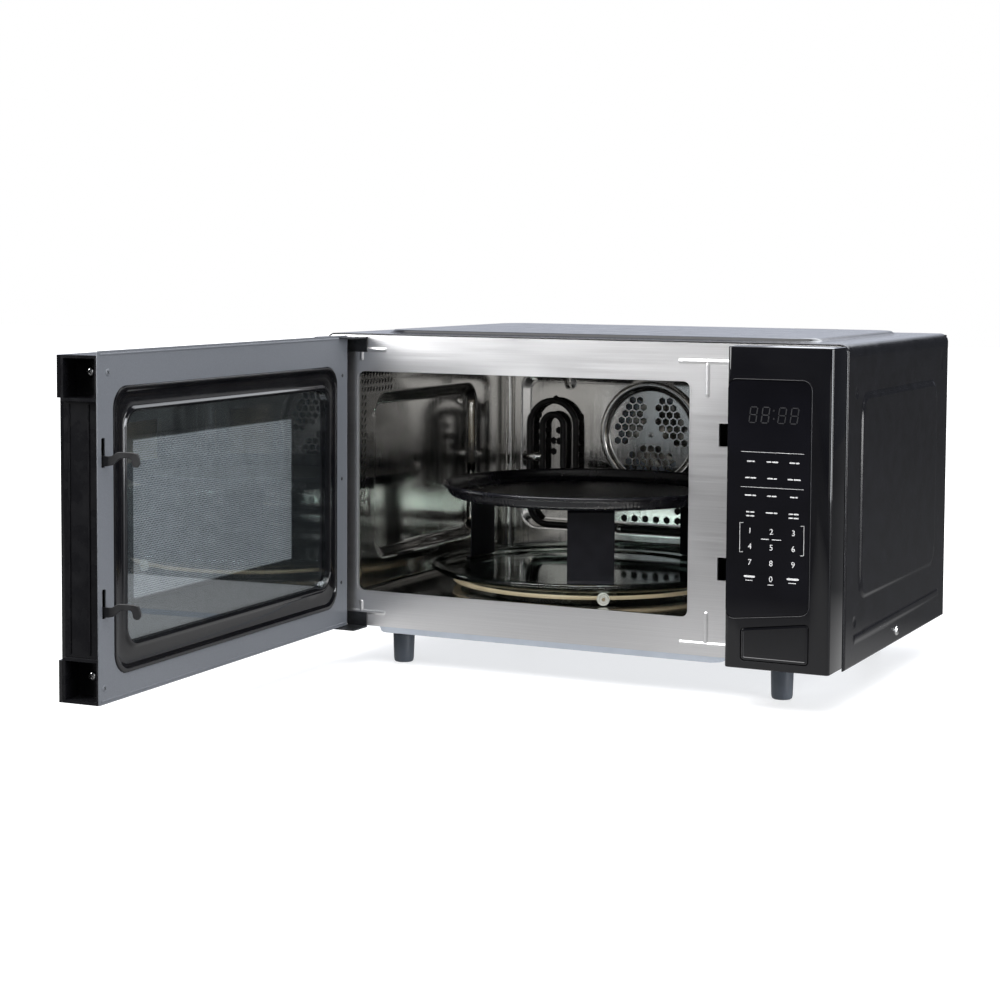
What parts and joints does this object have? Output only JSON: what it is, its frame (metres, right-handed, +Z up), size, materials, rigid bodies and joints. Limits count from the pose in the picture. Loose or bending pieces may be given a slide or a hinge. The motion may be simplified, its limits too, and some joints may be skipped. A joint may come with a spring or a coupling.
{
  "type": "microwave oven",
  "caption": "Countertop microwave and convection oven with its side-hinged door open, a glass turntable and a footed crisper pan in a steel cavity.",
  "frame": {"origin": "centre of the footprint at the surface under the feet, footprint taken with the door at its rest angle", "axes": "+Z up, the oven faces -Y, +X to the control panel's side"},
  "size_m": [0.5324, 0.8178, 0.322],
  "materials": {
    "case_paint": "gloss black enamel",
    "frame_steel": "horizontal brushed grain",
    "cavity_steel": "bright rolled, close to polished",
    "galvanised": "galvanised sheet",
    "foot_plastic": "satin",
    "panel_gloss": "high gloss",
    "fascia_glass": "high gloss, printed from behind",
    "door_glass": "black-backed gloss",
    "door_plastic": "satin",
    "inner_paint": "fine textured enamel",
    "ring_gloss": "high gloss",
    "clear_glass": "clear",
    "screen_steel": "dark satin, perforated",
    "latch_plastic": "satin",
    "switch_plastic": "satin",
    "circuit_board": "laminate",
    "display_glass": "gloss",
    "screw_steel": "plated",
    "hinge_zinc": "satin plated",
    "coupler_plastic": "satin",
    "tray_glass": "clear pressed glass",
    "ring_plastic": "satin",
    "roller_plastic": "translucent",
    "pan_coating": "non-stick coating, fine sparkle",
    "heater_black": "oxidised sheath",
    "fan_steel": "mill finish",
    "mica": "mica sheet",
    "core_steel": "varnished laminations"
  },
  "bodies": {
    "case": {"outer_case": "case_paint", "case_screw": "screw_steel", "front_frame": "frame_steel", "cavity_liner": "cavity_steel", "fan_grille": "cavity_steel", "base_pan": "galvanised", "foot_front_left": "foot_plastic", "foot_front_right": "foot_plastic", "foot_rear_left": "foot_plastic", "foot_rear_right": "foot_plastic", "rear_cover": "case_paint", "cord_inlet": "foot_plastic", "control_panel": "panel_gloss", "control_fascia": "fascia_glass", "button_spring": "screw_steel", "interlock_bracket": "latch_plastic", "door_switch_upper": "switch_plastic", "door_switch_lower": "switch_plastic", "control_board": "circuit_board", "display_module": "display_glass", "hinge_bracket_top": "hinge_zinc", "hinge_bracket_bottom": "hinge_zinc", "hinge_pin_top": "hinge_zinc", "hinge_pin_bottom": "hinge_zinc", "turntable_motor": "hinge_zinc", "convection_housing": "galvanised", "convection_motor": "hinge_zinc", "heater_element": "heater_black", "waveguide": "galvanised", "waveguide_cover": "mica", "magnetron": "hinge_zinc", "power_transformer": "core_steel", "hv_capacitor": "hinge_zinc", "cavity_lamp": "switch_plastic", "cooling_shroud": "switch_plastic"},
    "door": {"door_outer_glass": "door_glass", "door_shell": "door_plastic", "door_screw_upper": "screw_steel", "door_screw_lower": "screw_steel", "door_inner_panel": "inner_paint", "door_choke_ring": "ring_gloss", "door_inner_glass": "clear_glass", "door_screen": "screen_steel", "door_end_cover": "door_plastic", "latch_spring": "screw_steel"},
    "latch": {"door_latch": "latch_plastic"},
    "button": {"door_button": "panel_gloss"},
    "rocker": {"release_rocker": "latch_plastic"},
    "drive_coupler": {"turntable_coupler": "coupler_plastic"},
    "tray": {"glass_tray": "tray_glass"},
    "carrier": {"roller_ring": "ring_plastic"},
    "wheel_1": {"roller_1": "roller_plastic"},
    "wheel_2": {"roller_2": "roller_plastic"},
    "wheel_3": {"roller_3": "roller_plastic"},
    "crisper": {"crisper_pan": "pan_coating", "pan_leg_1": "pan_coating", "pan_leg_2": "pan_coating", "pan_leg_3": "pan_coating"},
    "hot_air_fan": {"convection_fan": "fan_steel"},
    "blower": {"cooling_fan": "coupler_plastic"}
  },
  "joints": [
    {"name": "door_hinge", "type": "hinge", "parent": "case", "child": "door", "pos_m": [-0.24299, 0.0024, 0.175], "axis": [0, 0, 1], "range_deg": [-17.4, 87.6]},
    {"name": "latch_lift", "type": "slide", "parent": "door", "child": "latch", "axis": [0, 0, 1], "range_m": [0, 0.004], "stiffness_N_per_m": 150, "springref_m": -0.004, "deforming": ["latch_spring"]},
    {"name": "button_press", "type": "slide", "parent": "case", "child": "button", "axis": [0, 1, 0], "range_m": [0, 0.004], "stiffness_N_per_m": 400, "springref_m": -0.004, "deforming": ["button_spring"]},
    {"name": "release_rock", "type": "hinge", "parent": "case", "child": "rocker", "pos_m": [0.15401, 0.0379, 0.084], "axis": [1, 0, 0], "range_deg": [0, 9]},
    {"name": "turntable_spin", "type": "hinge", "parent": "case", "child": "drive_coupler", "pos_m": [-0.05069, 0.1859, 0.07], "axis": [0, 0, 1], "continuous": true},
    {"name": "tray_lift", "type": "slide", "parent": "drive_coupler", "child": "tray", "axis": [0, 0, 1], "range_m": [0, 0.008]},
    {"name": "crisper_lift", "type": "slide", "parent": "tray", "child": "crisper", "axis": [0, 0, 1], "range_m": [0, 0.1]},
    {"name": "carrier_spin", "type": "hinge", "parent": "case", "child": "carrier", "pos_m": [-0.05069, 0.1859, 0.07], "axis": [0, 0, 1], "continuous": true},
    {"name": "roller_1_spin", "type": "hinge", "parent": "carrier", "child": "wheel_1", "pos_m": [0.01828, 0.06349, 0.0731], "axis": [0.4909, -0.8712, 0], "continuous": true},
    {"name": "roller_2_spin", "type": "hinge", "parent": "carrier", "child": "wheel_2", "pos_m": [0.02083, 0.30683, 0.0731], "axis": [0.509, 0.8607, 0], "continuous": true},
    {"name": "roller_3_spin", "type": "hinge", "parent": "carrier", "child": "wheel_3", "pos_m": [-0.19118, 0.18737, 0.0731], "axis": [-0.9999, 0.0105, 0], "continuous": true},
    {"name": "hot_air_fan_spin", "type": "hinge", "parent": "case", "child": "hot_air_fan", "pos_m": [-0.05069, 0.3599, 0.2045], "axis": [0, 1, 0], "continuous": true},
    {"name": "blower_spin", "type": "hinge", "parent": "case", "child": "blower", "pos_m": [0.19601, 0.3599, 0.175], "axis": [0, 1, 0], "continuous": true}
  ],
  "couplings": [
    {"joint": "release_rock", "follows": "button_press", "rad_per_m": 38.462}
  ]
}
